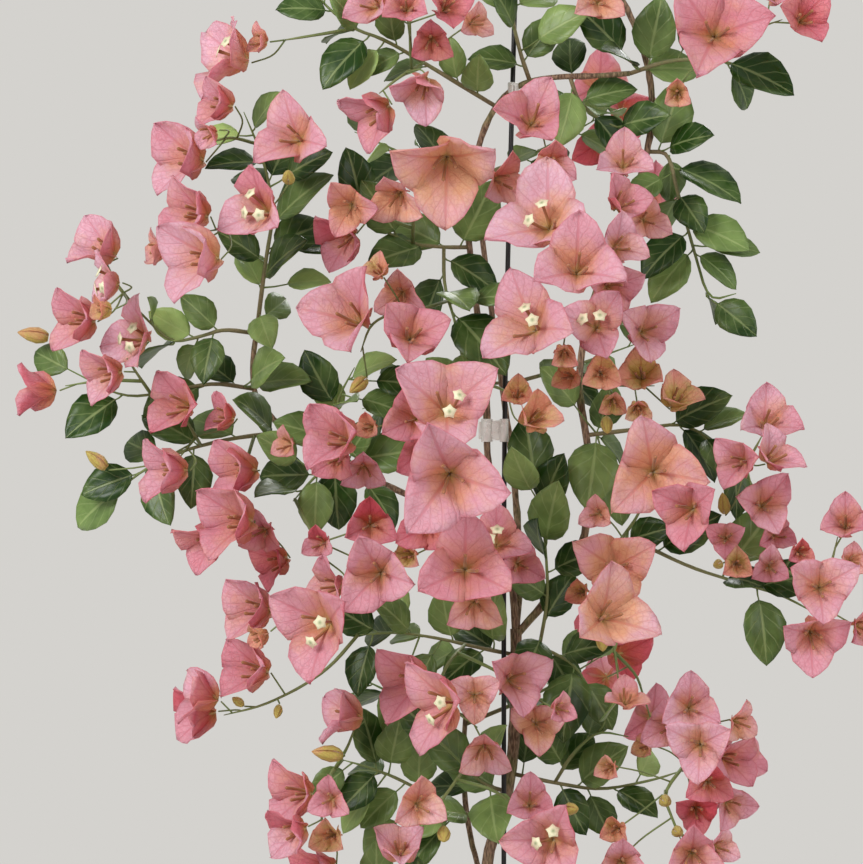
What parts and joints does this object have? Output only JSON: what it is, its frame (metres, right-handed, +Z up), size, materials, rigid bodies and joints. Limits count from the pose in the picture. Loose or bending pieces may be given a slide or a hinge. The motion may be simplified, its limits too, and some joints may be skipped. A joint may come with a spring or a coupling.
{
  "type": "potted kayata bougainvillea",
  "caption": "Bougainvillea in a round clay pot, trained up a thin stake, with arching leafy stems and sprays of papery three-bract blooms.",
  "frame": {"origin": "centre of the pot's flat foot, on the floor", "axes": "+Z up, -Y towards the shown side, +X to the right of the shown side"},
  "size_m": [0.5545, 0.3064, 0.9366],
  "materials": {
    "clay": "matt",
    "soil": "rough",
    "stake": "satin",
    "bark": "rough",
    "clip": "gloss",
    "leaf": "satin",
    "bract": "matt"
  },
  "bodies": {
    "root": {"pot": "clay", "soil": "soil", "stake": "stake", "woody_stems": "bark", "clip_low": "clip", "clip_high": "clip", "leafy_stem_upper_left": "leaf", "leafy_stem_arch_end": "leaf", "leafy_stem_arch_middle": "leaf", "leafy_stem_top_right": "leaf", "leafy_stem_crown": "leaf", "leafy_stem_left_top": "leaf", "leafy_stem_left_side": "leaf", "leafy_stem_left_middle": "leaf", "leafy_stem_left_low": "leaf", "leafy_stem_centre_left": "leaf", "leafy_stem_centre_top": "leaf", "leafy_stem_right_middle": "leaf", "leafy_stem_right_low": "leaf", "leafy_stem_low_centre": "leaf", "leafy_stem_low_right_of_centre": "leaf", "leafy_stem_low_left": "leaf", "leafy_stem_low_right": "leaf", "leafy_stem_low_front": "leaf", "leafy_stem_below": "leaf", "leafy_stem_back_top": "leaf", "leafy_stem_back_middle": "leaf", "leafy_stem_back_low": "leaf", "blooms_upper_left_tip": "bract", "blooms_upper_left": "bract", "blooms_left_top": "bract", "blooms_left_upper": "bract", "blooms_far_left_top": "bract", "blooms_far_left": "bract", "blooms_left_middle": "bract", "blooms_left_low": "bract", "blooms_centre_left_low": "bract", "blooms_low_left_out": "bract", "blooms_low_left": "bract", "blooms_low_front": "bract", "blooms_top_centre": "bract", "blooms_arch": "bract", "blooms_right_top": "bract", "blooms_centre_top": "bract", "blooms_centre_upper": "bract", "blooms_young_right": "bract", "blooms_centre_middle_left": "bract", "blooms_centre": "bract", "blooms_left_inner": "bract", "blooms_centre_low": "bract", "blooms_low_centre": "bract", "blooms_right_centre": "bract", "blooms_right_upper": "bract", "blooms_far_right": "bract", "blooms_top_right": "bract", "blooms_low_right": "bract", "blooms_crown": "bract", "blooms_below": "bract", "blooms_back_top": "bract", "blooms_back_low": "bract"}
  },
  "joints": []
}
